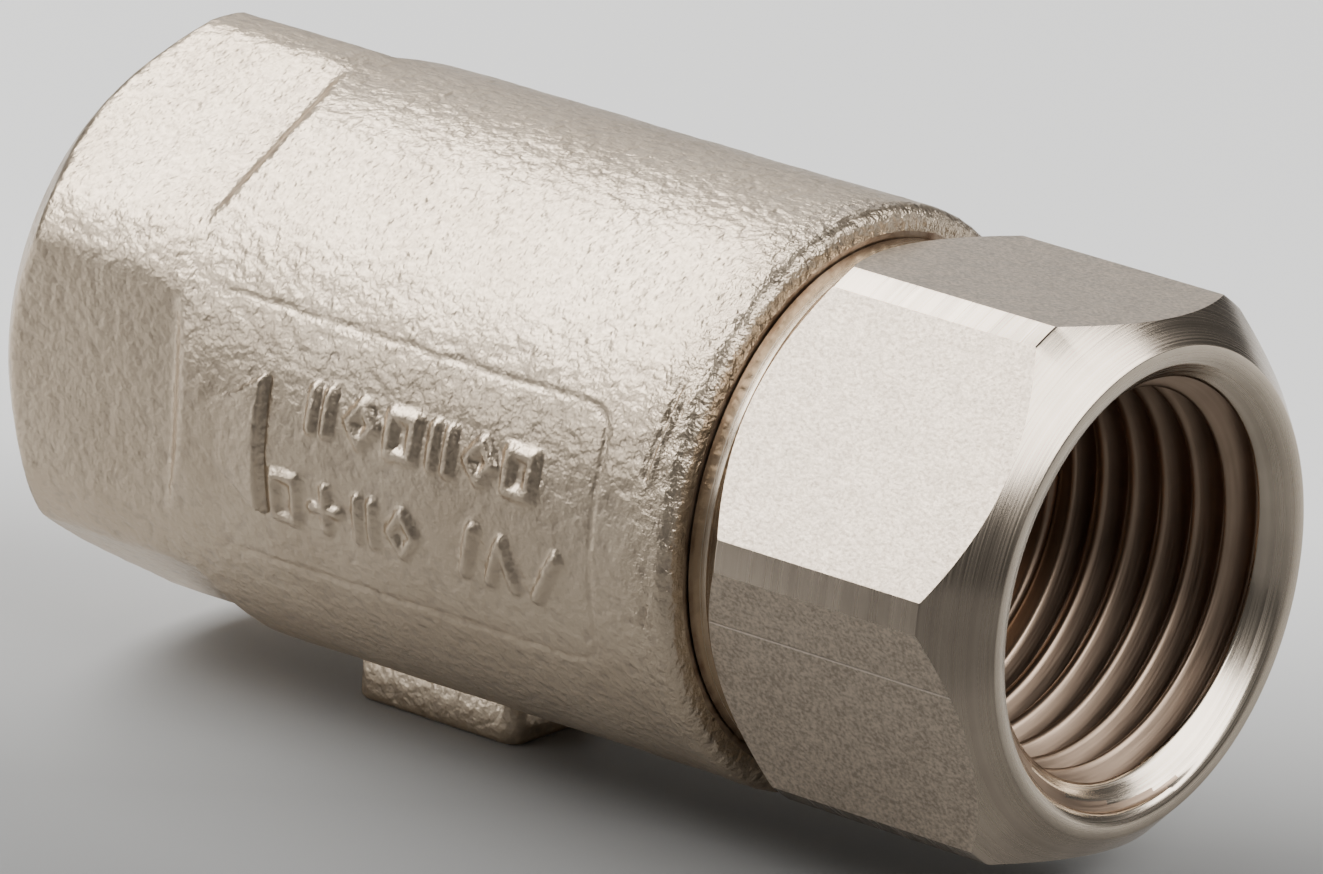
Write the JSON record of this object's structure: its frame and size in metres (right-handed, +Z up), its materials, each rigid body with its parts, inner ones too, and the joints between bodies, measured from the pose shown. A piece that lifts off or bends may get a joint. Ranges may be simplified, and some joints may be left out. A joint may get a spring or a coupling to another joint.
{
  "type": "in-line spring check valve",
  "caption": "In-line spring check valve with a cast hex-ended body, a screwed hexagonal end cap, female pipe threads and a spring-loaded ball-cone closure.",
  "frame": {"origin": "centre of the outlet end face, on the flow axis", "axes": "+X along the flow axis from the outlet end to the inlet end, against the flow; +Z up, away from the gate stub; the label side faces -Y"},
  "size_m": [0.0591, 0.0284, 0.0303],
  "materials": {
    "cast_body": "investment-cast stainless steel, bead-blasted, lightly textured",
    "machined_cap": "turned stainless steel, blasted flats, bright chamfers",
    "turned_steel": "fine turned stainless steel",
    "guide_steel": "pressed and tumbled stainless steel",
    "spring_wire": "drawn stainless spring wire",
    "seat_polymer": "brown filled fluoropolymer",
    "seal_white": "white fluoropolymer"
  },
  "bodies": {
    "housing": {"valve_body": "cast_body", "inlet_end_cap": "machined_cap", "body_seal_ring": "seal_white", "seat_ring": "seat_polymer", "seat_retainer": "turned_steel", "stem_guide": "guide_steel", "closing_spring": "spring_wire"},
    "poppet": {"ball_cone": "turned_steel", "poppet_stem": "turned_steel"}
  },
  "joints": [
    {"name": "poppet_slide", "type": "slide", "parent": "housing", "child": "poppet", "axis": [-1, 0, 0], "range_m": [0, 0.0038], "stiffness_N_per_m": 320, "springref_m": -0.0016, "deforming": ["closing_spring"]}
  ]
}
